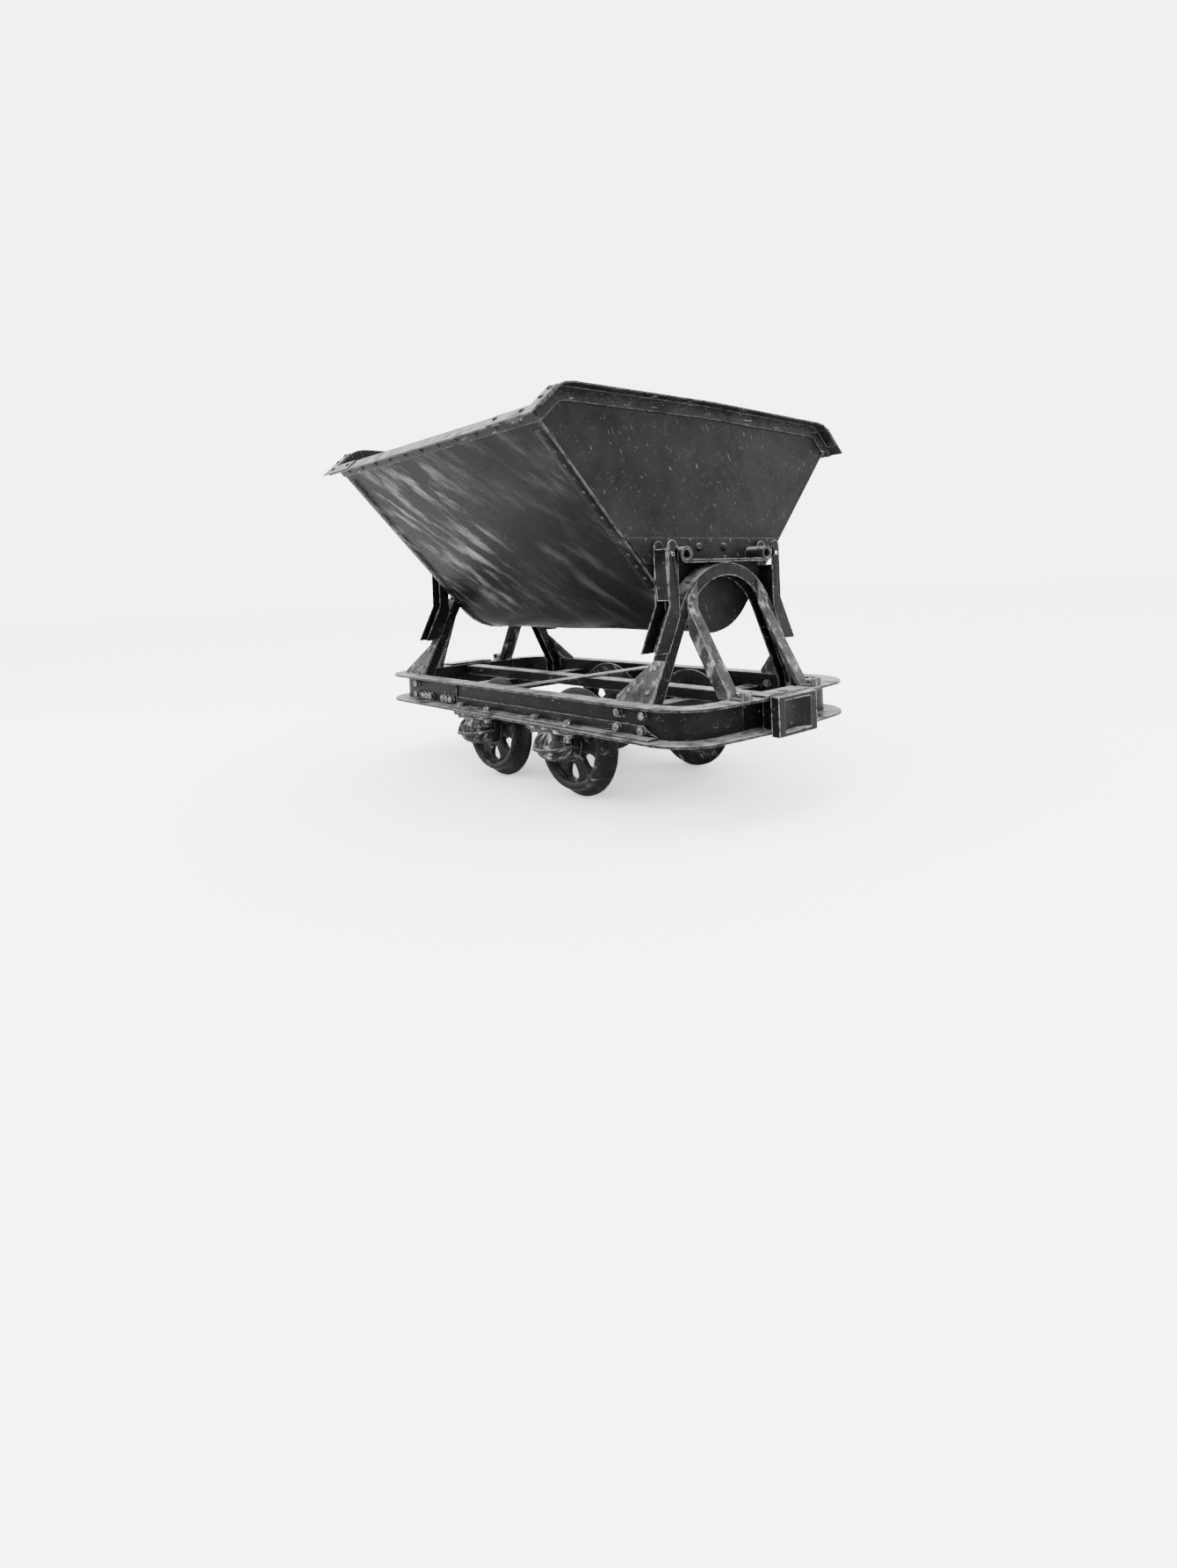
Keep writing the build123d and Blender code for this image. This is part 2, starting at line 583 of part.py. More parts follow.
# ---- write the nodes ----------------------------------------------------------------
save("tub_sheet", sheet)
save("end_plate_front", end_plate)
save("end_plate_rear", flip_x(end_plate))
save("side_rim_left", rim_left)
save("side_rim_right", flip_y(rim_left))
save("end_rim_front", end_rim)
save("end_rim_rear", flip_x(end_rim))
save("corner_straps", strap, flip_y(strap), flip_x(strap), turn(strap))
save("wall_plate_front", wall_plate)
save("wall_plate_rear", flip_x(wall_plate))
save("rocker_bar_front", rocker_bar)
save("rocker_bar_rear", flip_x(rocker_bar))
save("tub_rivets", *wall_rivets)
save("rim_rivets", *rim_rivets)
save("rocker_shims", shim, flip_x(shim))

save("sole_channel_left", side_left)
save("sole_channel_right", flip_y(side_left))
save("head_channel_front", head)
save("head_channel_rear", flip_x(head))
save("head_plate_front", head_plate)
save("head_plate_rear", flip_x(head_plate))
save("buffer_front", buffer)
save("buffer_rear", flip_x(buffer))
save("sole_angle_left", angle)
save("sole_angle_right", flip_y(angle))
save("web_plate_left", fish)
save("web_plate_right", flip_y(fish))
save("draw_bar", draw_bar)
save("centre_tie", tie)
save("cross_bearer_front", bearer)
save("cross_bearer_rear", flip_x(bearer))
save("trestle_front", trestle)
save("trestle_rear", flip_x(trestle))
save("post_front_left", post)
save("post_front_right", flip_y(post))
save("post_rear_left", flip_x(post))
save("post_rear_right", turn(post))
save("leg_gussets", gusset, flip_y(gusset), Pos(-leg_x0 - leg_x1, 0, 0) * gusset, turn(gusset))
save("strut_front_left", strut)
save("strut_front_right", flip_y(strut))
save("strut_rear_left", flip_x(strut))
save("strut_rear_right", turn(strut))
save("latch_front", latch)
save("latch_rear", turn(latch))

for end, bx in (("front", axle_shift + wheelbase / 2), ("rear", axle_shift - wheelbase / 2)):
    place = Pos(bx, 0, axle_z)
    save("axle_" + end, place * axle)
    save("wheel_" + end + "_right", place * wheel)
    save("wheel_" + end + "_left", place * flip_y(wheel))
    save("axle_box_" + end + "_right", place * upper)
    save("axle_box_" + end + "_left", place * flip_y(upper))
    cups = (place * lower, place * flip_y(lower))
    save("axle_cups_" + end, *cups)
save("axle_box_bolts", *box_bolts)
save("web_bolts", *web_bolts)
save("strut_bolts", *foot_bolts)
save("trestle_rivets", *(strut_rivets + gusset_rivets))
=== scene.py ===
import json
import math
import bmesh
import bpy
import numpy as np
from mathutils import Matrix, Vector


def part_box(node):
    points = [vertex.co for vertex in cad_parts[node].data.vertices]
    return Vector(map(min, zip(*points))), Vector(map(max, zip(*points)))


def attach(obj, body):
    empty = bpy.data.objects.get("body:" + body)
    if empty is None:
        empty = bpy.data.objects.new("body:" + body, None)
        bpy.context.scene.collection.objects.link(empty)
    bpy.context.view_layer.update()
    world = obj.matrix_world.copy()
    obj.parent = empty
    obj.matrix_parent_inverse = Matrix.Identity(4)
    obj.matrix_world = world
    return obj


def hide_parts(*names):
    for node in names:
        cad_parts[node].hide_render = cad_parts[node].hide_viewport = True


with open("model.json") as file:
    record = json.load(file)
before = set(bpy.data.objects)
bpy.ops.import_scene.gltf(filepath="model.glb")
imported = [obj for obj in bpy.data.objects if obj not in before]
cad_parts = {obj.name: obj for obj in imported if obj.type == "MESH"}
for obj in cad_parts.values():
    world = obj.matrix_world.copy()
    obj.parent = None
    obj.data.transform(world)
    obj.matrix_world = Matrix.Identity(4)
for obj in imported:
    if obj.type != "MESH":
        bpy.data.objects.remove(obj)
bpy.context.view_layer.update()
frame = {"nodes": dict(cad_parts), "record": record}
nodes = frame["nodes"]
mm = 0.001
rng = np.random.default_rng(11)
print("frame loaded:", len(nodes), "nodes")


# colours and shader nodes

# sRGB hex to linear: the toe is divided by 12.92, the rest is raised to 2.4.
def hexColour(code):
    raw = np.array([int(code[i:i + 2], 16) for i in (1, 3, 5)]) / 255
    linear = np.where(raw <= 0.04045, raw / 12.92, ((raw + 0.055) / 1.055) ** 2.4)
    return (*linear.tolist(), 1.0)


# Adds one shader node, sets it, and links or fills its inputs.
def addNode(tree, kind, inputs=None, stops=None, **settings):
    node = tree.nodes.new("ShaderNode" + kind)
    for key, value in settings.items():
        setattr(node, key, value)
    if stops:
        ramp = node.color_ramp
        while len(ramp.elements) < len(stops):
            ramp.elements.new(0.5)
        for element, (at, colour) in zip(ramp.elements, stops):
            element.position = at
            element.color = hexColour(colour)
    for key, value in (inputs or {}).items():
        if isinstance(value, bpy.types.NodeSocket):
            tree.links.new(value, node.inputs[key])
        else:
            node.inputs[key].default_value = value
    return node


# Every finish is steel or iron with a dark skin. Sizes are in millimetres.
#   dark, mid     the skin's two tones, in clouds of the size "cloud"
#   light         where the skin is rubbed or flaked, in marks of "markSize", turned by "markTurn"
#   speck         how strong the fine pale specks are
#   edge          bare metal along edges, "edgeWidth" wide and as strong as "edgeGain"
#   dustAndTopLight  how much paler the faces that look up are: pale dust, and painted light from above
#   gloss         how strongly the skin mirrors the light; low, because scale, oil film and dust are dull
#   patch         X, Y, Z of the middle of the rubbed place, and its reach, in metres
finishes = {
    "oiledSheetSteel": {          # rolled sheet, darkened by oil, wiped into smoky streaks
        "dark": "#010101", "mid": "#070707", "light": "#6f6f6f", "edge": "#636363",
        "cloud": 230, "grain": 7, "markSize": (150, 400, 44), "markTurn": (0, 46, 0), "marks": (0.47, 0.82),
        "speck": 0.12, "edgeWidth": 4, "edgeGain": 0.5, "dustAndTopLight": 0.1, "rough": (0.36, 0.56), "bump": 0.25,
        "metal": 0.0, "gloss": 0.03, "patch": (-0.30, -0.55, 0.88, 0.40)},
    "wornEndPlateSteel": {        # pressed plate with fine pitting, streaked by rain
        "dark": "#050505", "mid": "#101010", "light": "#5c5c5c", "edge": "#6a6a6a",
        "cloud": 150, "grain": 4, "markSize": (400, 12, 26), "markTurn": (28, 0, 0), "marks": (0.60, 0.86),
        "speck": 0.4, "edgeWidth": 4, "edgeGain": 0.6, "dustAndTopLight": 0.1, "rough": (0.42, 0.62), "bump": 0.35,
        "metal": 0.04, "gloss": 0.04},
    "paintedAngleSteel": {        # rims: painted angle bar, rubbed along its edges
        "dark": "#060606", "mid": "#151515", "light": "#707070", "edge": "#757575",
        "cloud": 90, "grain": 5, "markSize": (60, 60, 8), "markTurn": (0, 0, 0), "marks": (0.60, 0.78),
        "speck": 0.4, "edgeWidth": 5, "edgeGain": 0.6, "dustAndTopLight": 0.8, "rough": (0.40, 0.60), "bump": 0.3,
        "metal": 0.04, "gloss": 0.04},
    "rolledChannelSteel": {       # hot-rolled channel: dark webs, flanges paler from dust and painted light from above, pitted
        "dark": "#030303", "mid": "#0b0b0b", "light": "#727272", "edge": "#808080",
        "cloud": 70, "grain": 5, "markSize": (40, 40, 14), "markTurn": (0, 0, 0), "marks": (0.62, 0.80),
        "speck": 0.35, "edgeWidth": 6, "edgeGain": 0.8, "dustAndTopLight": 0.8, "rough": (0.38, 0.62), "bump": 0.4,
        "metal": 0.04, "gloss": 0.04},
    "flakedPaintSteel": {         # struts and gussets: pale paint, flaked down to dark scale
        "dark": "#141414", "mid": "#2d2d2d", "light": "#717171", "edge": "#888888",
        "cloud": 70, "grain": 4, "markSize": (30, 30, 44), "markTurn": (0, 0, 0), "marks": (0.50, 0.72),
        "speck": 0.6, "edgeWidth": 4, "edgeGain": 0.8, "dustAndTopLight": 0.3, "rough": (0.42, 0.7), "bump": 0.5,
        "metal": 0.04, "gloss": 0.04},
    "bareForgedSteel": {          # rivets, nuts, pins and axles, handled bright
        "dark": "#0a0a0a", "mid": "#2e2e2e", "light": "#7d7d7d", "edge": "#8f8f8f",
        "cloud": 22, "grain": 3, "markSize": (9, 9, 9), "markTurn": (0, 0, 0), "marks": (0.52, 0.66),
        "speck": 0.4, "edgeWidth": 2, "edgeGain": 0.9, "dustAndTopLight": 0.4, "rough": (0.32, 0.5), "bump": 0.2,
        "metal": 0.4, "gloss": 0.3},
    "sandCastIron": {             # wheels: sand-cast, gritty, dark with pale smears
        "dark": "#020202", "mid": "#0d0d0d", "light": "#666666", "edge": "#5f5f5f",
        "cloud": 48, "grain": 4, "markSize": (50, 70, 26), "markTurn": (0, 40, 0), "marks": (0.56, 0.76),
        "speck": 0.4, "edgeWidth": 5, "edgeGain": 0.5, "dustAndTopLight": 0.2, "rough": (0.34, 0.6), "bump": 0.6,
        "metal": 0.08, "gloss": 0.05},
    "dustyCastIron": {            # axle boxes: the same casting under pale dried mud
        "dark": "#070707", "mid": "#252525", "light": "#7a7a7a", "edge": "#7e7e7e",
        "cloud": 40, "grain": 4, "markSize": (26, 26, 18), "markTurn": (20, 30, 0), "marks": (0.52, 0.70),
        "speck": 0.5, "edgeWidth": 4, "edgeGain": 0.7, "dustAndTopLight": 0.6, "rough": (0.45, 0.72), "bump": 0.7,
        "metal": 0.04, "gloss": 0.04},
}


# Skin colour in clouds, then grain, rubbed marks, pale dust with painted light from above on upward faces,
# and bare edges, each mixed over the last.
def wornMetal(name, f):
    material = bpy.data.materials.new(name)
    material.use_nodes = True
    tree = material.node_tree
    tree.nodes.clear()
    place = addNode(tree, "TexCoord").outputs

    # Noise whose features are as large as size, in mm along each axis.
    def noise(size, turn=(0, 0, 0), detail=6.0, shift=0.0):
        scale = [s * mm for s in size]
        angles = [math.radians(a) for a in turn]
        mapped = addNode(tree, "Mapping", {"Vector": place["Object"], "Location": (shift, shift, shift),
                                           "Rotation": angles, "Scale": scale}, vector_type="TEXTURE")
        made = addNode(tree, "TexNoise", {"Vector": mapped.outputs["Vector"], "Scale": 1.0, "Detail": detail,
                                          "Roughness": 0.62})
        return made.outputs["Fac"]

    # 0 below low, top above high, smooth between.
    def between(value, low, high, top=1.0):
        made = addNode(tree, "MapRange", {"Value": value, "From Min": low, "From Max": high, "To Max": top},
                       interpolation_type="SMOOTHSTEP")
        return made.outputs["Result"]

    def times(a, b):
        return addNode(tree, "Math", {0: a, 1: b}, operation="MULTIPLY").outputs["Value"]

    def over(factor, under, top):
        made = addNode(tree, "Mix", {0: factor, 6: under, 7: top}, data_type="RGBA")
        return made.outputs[2]

    cloud = noise((f["cloud"],) * 3)
    grain = noise((f["grain"],) * 3, detail=3.0, shift=0.3)
    marks = between(noise(f["markSize"], f["markTurn"], shift=0.7), *f["marks"])
    if "patch" in f:              # the marks are strongest round one spot, and fade with the distance from it
        x, y, z, reach = f["patch"]
        acrossShare = 0.33        # how much of the distance across the tub counts
        faintest = 0.14
        apart = addNode(tree, "SeparateXYZ", {"Vector": place["Object"]}).outputs
        dx = addNode(tree, "Math", {0: apart["X"], 1: x}, operation="SUBTRACT").outputs["Value"]
        dz = addNode(tree, "Math", {0: apart["Z"], 1: z}, operation="SUBTRACT").outputs["Value"]
        dy = addNode(tree, "Math", {0: times(apart["Y"], acrossShare), 1: y * acrossShare},
                     operation="SUBTRACT").outputs["Value"]
        flat = addNode(tree, "Math", {0: times(dx, dx), 1: times(dz, dz)}, operation="ADD").outputs["Value"]
        squared = addNode(tree, "Math", {0: flat, 1: times(dy, dy)}, operation="ADD").outputs["Value"]
        near = addNode(tree, "MapRange", {"Value": squared, "From Min": reach ** 2, "From Max": 0.0,
                                          "To Min": faintest, "To Max": 1.0}, interpolation_type="SMOOTHSTEP")
        marks = times(marks, near.outputs["Result"])

    twoTones = [(0.34, f["dark"]), (0.66, f["mid"])]
    skin = addNode(tree, "ValToRGB", {"Fac": cloud}, stops=twoTones).outputs["Color"]
    speck = times(between(grain, 0.60, 0.72), between(noise((40, 40, 40), shift=1.1), 0.42, 0.62))
    colour = over(times(speck, f["speck"]), skin, hexColour(f["light"]))
    pit = between(grain, 0.40, 0.30)
    colour = over(times(pit, 0.5), colour, hexColour(f["dark"]))
    colour = over(times(marks, 0.75), colour, hexColour(f["light"]))

    # Faces that look up are paler in blotches: pale dust, and painted light from above.
    up = addNode(tree, "SeparateXYZ", {"Vector": place["Normal"]}).outputs["Z"]
    dustAndTopLightMask = times(between(up, 0.35, 0.95, f["dustAndTopLight"]), between(noise((55, 55, 55), shift=2.0), 0.30, 0.62))
    colour = over(dustAndTopLightMask, colour, hexColour(f["light"]))

    rounded = addNode(tree, "Bevel", {"Radius": f["edgeWidth"] * mm}, samples=6).outputs["Normal"]
    flat = addNode(tree, "NewGeometry").outputs["Normal"]
    facing = addNode(tree, "VectorMath", {0: rounded, 1: flat}, operation="DOT_PRODUCT").outputs["Value"]
    corner = between(facing, 0.985, 0.86, f["edgeGain"])
    bare = times(corner, between(noise((26, 26, 26), shift=3.0), 0.34, 0.60))
    colour = over(bare, colour, hexColour(f["edge"]))

    smooth, coarse = f["rough"]
    rough = addNode(tree, "MapRange", {"Value": grain, "From Min": 0.35, "From Max": 0.65, "To Min": smooth,
                                       "To Max": coarse}).outputs["Result"]
    pitting = noise((f["grain"] * 2,) * 3, detail=5.0, shift=4.0)
    height = addNode(tree, "Math", {0: pitting, 1: times(marks, 0.4)}, operation="ADD").outputs["Value"]
    bump = addNode(tree, "Bump", {"Height": height, "Strength": 0.5, "Distance": f["bump"] * mm})
    shader = addNode(tree, "BsdfPrincipled", {"Base Color": colour, "Specular IOR Level": f["gloss"],
                                              "Roughness": rough, "Metallic": f["metal"],
                                              "Normal": bump.outputs["Normal"]})
    addNode(tree, "OutputMaterial", {"Surface": shader.outputs["BSDF"]})
    return material


materials = {name: wornMetal(name, finish) for name, finish in finishes.items()}
print("materials made:", len(materials))


# meshes

# Quads between each row and column of points and the next.
def gridFaces(rows, cols, wrapRows, wrapCols):
    r, c = np.meshgrid(np.arange(rows if wrapRows else rows - 1), np.arange(cols if wrapCols else cols - 1),
                       indexing="ij")
    r1 = (r + 1) % rows
    c1 = (c + 1) % cols
    return np.stack([r * cols + c, r * cols + c1, r1 * cols + c1, r1 * cols + c], -1).reshape(-1, 4)


# Merges doubles, drops faces that closed up, turns faces out, and shades smooth below the angle sharp.
def finishMesh(mesh, sharp):
    work = bmesh.new()
    work.from_mesh(mesh)
    bmesh.ops.remove_doubles(work, verts=work.verts, dist=2e-6)
    bmesh.ops.dissolve_degenerate(work, edges=work.edges, dist=1e-7)
    bmesh.ops.recalc_face_normals(work, faces=work.faces)
    work.to_mesh(mesh)
    work.free()
    mesh.polygons.foreach_set("use_smooth", np.ones(len(mesh.polygons), bool))
    mesh.set_sharp_from_angle(angle=math.radians(sharp))


# Puts a mesh in the scene with its finish, its body and the CAD nodes that it stands for.
def placePiece(name, mesh, finish, body, stands=()):
    piece = bpy.data.objects.new(name, mesh)
    bpy.context.scene.collection.objects.link(piece)
    mesh.materials.clear()
    mesh.materials.append(materials[finish])
    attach(piece, body)
    if stands:
        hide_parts(*stands)
    return piece


# One mesh from several grids of points: (points, wrapRows, wrapCols). Doubles are merged, faces point out.
def makePiece(name, patches, finish, body, stands=(), sharp=38):
    verts = []
    faces = []
    total = 0
    for points, wrapRows, wrapCols in patches:
        rows, cols = points.shape[:2]
        verts.append(points.reshape(-1, 3))
        faces.append(gridFaces(rows, cols, wrapRows, wrapCols) + total)
        total += rows * cols
    mesh = bpy.data.meshes.new(name)
    mesh.from_pydata(np.concatenate(verts).tolist(), [], np.concatenate(faces).tolist())
    finishMesh(mesh, sharp)
    return placePiece(name, mesh, finish, body, stands)


# A CAD node's points without doubles, and its triangles.
def mergedMesh(node):
    mesh = nodes[node].data
    co = np.zeros(len(mesh.vertices) * 3, np.float32)
    mesh.vertices.foreach_get("co", co)
    corners = np.zeros(len(mesh.polygons) * 3, np.int32)
    mesh.polygons.foreach_get("vertices", corners)
    keys, index = np.unique(np.round(co.reshape(-1, 3) / 4e-6).astype(np.int64), axis=0, return_inverse=True)
    return keys * 4e-6, index.reshape(-1)[corners].reshape(-1, 3)


# The points of each separate solid of a CAD node: every triangle passes its lowest label on until none
# changes.
def solidsOf(node):
    points, triangles = mergedMesh(node)
    label = np.arange(len(points))
    while True:
        lowest = label[triangles].min(1)
        new = label.copy()
        for k in range(3):
            np.minimum.at(new, triangles[:, k], lowest)
        if (new == label).all():
            break
        label = new
    return [points[label == k] for k in np.unique(label)]


# A CAD node's own shape with its sharp edges rounded, as rolled, cast or worn edges are.
def softEdged(node, finish, body, width=1.6, angle=34):
    points, triangles = mergedMesh(node)
    mesh = bpy.data.meshes.new(node + "_worn")
    mesh.from_pydata(points.tolist(), [], triangles.tolist())
    finishMesh(mesh, angle)
    piece = placePiece(node + "_worn", mesh, finish, body, (node,))
    bevel = piece.modifiers.new("roundedEdges", "BEVEL")
    bevel.width = width * mm
    bevel.segments = 2
    bevel.limit_method = "ANGLE"
    bevel.angle_limit = math.radians(angle)
    bevel.use_clamp_overlap = True
    bevel.harden_normals = False
    return piece


# For each unit vector, two more that make a right-handed set with it.
def axesFor(ways):
    ways = np.atleast_2d(ways).astype(float)
    spare = np.where(np.abs(ways[:, 2:3]) < 0.8, np.array([[0.0, 0, 1]]), np.array([[1.0, 0, 0]]))
    side = np.cross(spare, ways)
    side /= np.linalg.norm(side, axis=1, keepdims=True)
    return side, np.cross(ways, side), ways


# Each base gets the profile (radius, height) swept round its way. radial scales the radius by angle.
def turnings(bases, ways, profile, angles, radial=None):
    a, b, w = axesFor(ways)
    gain = np.ones(len(angles)) if radial is None else radial
    ring = np.cos(angles)[None, :, None] * a[:, None, :] + np.sin(angles)[None, :, None] * b[:, None, :]
    patches = []
    for base, circle, way in zip(np.atleast_2d(bases), ring, w):
        shape = profile[:, 0, None] * gain if np.ndim(gain) == 1 else np.minimum(profile[:, 0, None], gain)
        points = base + shape[..., None] * circle[None] + profile[:, 1, None, None] * way
        patches.append((points, False, True))
    return patches


# Rivet heads: radius times sine and height times cosine of an angle from the crown to the rim.
def domes(bases, ways, radius, height):
    turnAngle = np.linspace(0, math.pi / 2, 6)
    profile = np.stack([radius * np.sin(turnAngle), height * np.cos(turnAngle)], -1)
    profile = np.vstack([profile, [[radius, -0.0008], [0, -0.0008]]])
    return turnings(bases, ways, profile, np.linspace(0, 2 * math.pi, 14, endpoint=False))


# Nuts: the radius of a hexagon at each angle, cut down near both ends to a cone, which is the chamfer.
def hexNuts(bases, ways, across, height):
    patches = []
    for base, way in zip(np.atleast_2d(bases), np.atleast_2d(ways)):
        start = rng.uniform(0, math.pi)
        angles = np.linspace(0, 2 * math.pi, 36, endpoint=False)
        wide = across / 2 / np.cos((angles % (math.pi / 3)) - math.pi / 6)
        heights = np.array([0, 0, 0.07, 0.14, 0.86, 0.93, 1, 1])
        cone = across / 2 * np.array([0, 1.0, 1.07, 2, 2, 1.07, 1.0, 0])
        profile = np.stack([cone, heights * height], -1)
        patches += turnings(base, way, profile, angles + start, wide[None, :])
    return patches


def washers(bases, ways, radius, height):
    chamfer = height * 0.3
    profile = np.array([[0, 0], [radius, 0], [radius, height * 0.7], [radius - chamfer, height], [0, height]])
    return turnings(bases, ways, profile, np.linspace(0, 2 * math.pi, 20, endpoint=False))


# Bolt end: its radius falls and rises once each pitch, and its tip is domed.
def threadedEnd(bases, ways, radius, length, pitch=2.2 * mm):
    steps = np.linspace(0, length - radius * 0.4, int(length / pitch) * 4)
    wave = radius - 0.0006 * (0.5 - 0.5 * np.cos(2 * math.pi * steps / pitch))
    tipTurn = np.linspace(0.3, math.pi / 2, 4)
    tip = np.stack([radius * 0.94 * np.cos(tipTurn), length - radius * 0.4 * (1 - np.sin(tipTurn))], -1)
    profile = np.vstack([[[0, 0]], np.stack([wave, steps], -1), tip])
    return turnings(bases, ways, profile, np.linspace(0, 2 * math.pi, 14, endpoint=False))


# A closed outline with its corners cut at a quarter and three quarters of each side, times over.
def rounded(points, times=2):
    points = np.array(points, float)
    for _ in range(times):
        after = np.roll(points, -1, 0)
        points = np.stack([0.8 * points + 0.2 * after, 0.2 * points + 0.8 * after], 1).reshape(-1, 2)
    return points


# camera, floor and light
view = {"place": (2.2203, -1.9322, 0.7034), "yaw": 0.855, "pitch": -0.0108, "roll": -0.0416,
        "lens": 18.31, "shift": (0.0011, -0.1258)}


# Looks along yaw and pitch, then rolls about the line of sight.
def makeCamera():
    yaw, pitch, roll = view["yaw"], view["pitch"], view["roll"]
    ahead = Vector((-math.sin(yaw) * math.cos(pitch), math.cos(yaw) * math.cos(pitch), math.sin(pitch)))
    right = ahead.cross(Vector((0, 0, 1))).normalized()
    up = right.cross(ahead)
    data = bpy.data.cameras.new("camera")
    data.lens = view["lens"]
    data.sensor_width = 36
    data.shift_x, data.shift_y = view["shift"]
    camera = bpy.data.objects.new("camera", data)
    bpy.context.scene.collection.objects.link(camera)
    tilted = (math.cos(roll) * right + math.sin(roll) * up,
              -math.sin(roll) * right + math.cos(roll) * up, -ahead)
    turned = Matrix(tilted).transposed().to_4x4()
    camera.matrix_world = Matrix.Translation(view["place"]) @ turned
    bpy.context.scene.camera = camera


studio = {"floor": "#fafaf9", "sky": "#fbfbfb", "skyStrength": 6.0}
lamps = [                         # name, place, size, watts
    ("overhead", (0.6, -0.4, 4.2), 3.4, 240),
    ("leftSoft", (-2.6, -3.6, 2.6), 2.2, 170),
    ("endSoft", (4.4, 0.8, 2.4), 2.0, 120),
]


def makeStudio():
    world = bpy.data.worlds.new("studio")
    world.use_nodes = True
    background = world.node_tree.nodes["Background"]
    background.inputs["Color"].default_value = hexColour(studio["sky"])
    background.inputs["Strength"].default_value = studio["skyStrength"]
    bpy.context.scene.world = world
    half = 30.0
    mesh = bpy.data.meshes.new("floor")
    corners = [(-half, -half, 0), (half, -half, 0), (half, half, 0), (-half, half, 0)]
    mesh.from_pydata(corners, [], [(0, 1, 2, 3)])
    floor = bpy.data.objects.new("floor", mesh)
    bpy.context.scene.collection.objects.link(floor)
    paint = bpy.data.materials.new("paleFloorPaint")
    paint.use_nodes = True
    paint.node_tree.nodes["Principled BSDF"].inputs["Base Color"].default_value = hexColour(studio["floor"])
    paint.node_tree.nodes["Principled BSDF"].inputs["Roughness"].default_value = 0.9
    mesh.materials.append(paint)
    for name, place, size, watts in lamps:
        data = bpy.data.lights.new(name, "AREA")
        data.size = size
        data.energy = watts
        lamp = bpy.data.objects.new(name, data)
        lamp.location = place
        lamp.rotation_mode = "QUATERNION"
        lamp.rotation_quaternion = (Vector((0, 0, 0.6)) - Vector(place)).to_track_quat("-Z", "Y")
        bpy.context.scene.collection.objects.link(lamp)


makeCamera()
makeStudio()
print("camera and light made")

# the tub
tub = {"bottomRadius": 0.223, "thick": 0.005, "dent": 0.0022, "dish": 0.0012,
       "shoulderIn": 0.111, "shoulderRun": 0.080, "crownDrop": 0.0085, "corner": (0.022, 0.005),
       "bandWidth": 0.046, "bandThick": 0.003, "seamLength": 1.95, "seamPitch": 0.052, "seamInset": 0.020,
       "seamRivet": (0.0055, 0.0032)}
sheetLow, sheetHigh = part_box("tub_sheet")
halfLip = sheetHigh.y
lipZ = sheetHigh.z
arcZ = sheetLow.z + tub["bottomRadius"]
lipReach = math.hypot(halfLip, lipZ - arcZ)
sideAngle = math.acos(tub["bottomRadius"] / lipReach) - math.atan2(lipZ - arcZ, halfLip)


# Points and outward normals of the tub's section, t from 0 at the left lip to 1 at the right: two straight
# sides that meet a round bottom, at an even pace along the whole length.
def tubSection(t):
    r = tub["bottomRadius"]
    sideLength = math.hypot(halfLip - r * math.cos(sideAngle), lipZ - arcZ + r * math.sin(sideAngle))
    arcLength = r * (math.pi - 2 * sideAngle)
    s = np.asarray(t, float) * (2 * sideLength + arcLength) - sideLength
    turnAngle = np.clip(s / r, 0, arcLength / r) + sideAngle
    normal = np.stack([-np.cos(turnAngle), -np.sin(turnAngle)], -1)
    past = np.where(s < 0, s, np.where(s > arcLength, s - arcLength, 0.0))
    along = np.stack([np.sin(turnAngle), -np.cos(turnAngle)], -1)
    point = np.array([0, arcZ]) + r * normal + past[:, None] * along
    return point, normal


# Shallow dents: a sum of slow sines across the plate with seeded phases, from -1 to 1.
def waves(u, v, seed):
    pick = np.random.default_rng(seed)
    total = 0
    for k in range(7):
        fu, fv = pick.uniform(0.6, 3.2, 2)
        pu, pv = pick.uniform(0, 2 * math.pi, 2)
        total = total + np.sin(2 * math.pi * fu * u + pu) * np.sin(2 * math.pi * fv * v + pv)
    return total / 3


# Section carried along X, pushed along its normal by the dents, which fade to nothing at every edge.
def makeTubSheet():
    x = np.linspace(sheetLow.x, sheetHigh.x, 110)
    t = np.linspace(0, 1, 200)
    point, normal = tubSection(t)
    u = (x - x[0]) / (x[-1] - x[0])
    fade = np.minimum(1, np.sin(math.pi * u) * 3)[:, None] * np.minimum(1, np.sin(math.pi * t) * 5)[None]
    dent = waves(u[:, None], t[None], 5) * fade * tub["dent"]
    shells = []
    for inset in (0, tub["thick"]):
        flat = point[None] + normal[None] * (dent - inset - tub["dent"] * 0.6 * fade)[..., None]
        along = np.broadcast_to(x[:, None, None], flat.shape[:2] + (1,))
        shells.append(np.concatenate([along, flat], -1))
    loop = np.concatenate([shells[0], shells[1][:, ::-1]], 1)
    caps = [(np.stack([shells[0][k], shells[1][k]]), False, False) for k in (0, -1)]
    makePiece("tubSheetDented", [(loop, False, True)] + caps, "oiledSheetSteel", "tub",
              ("tub_sheet",))


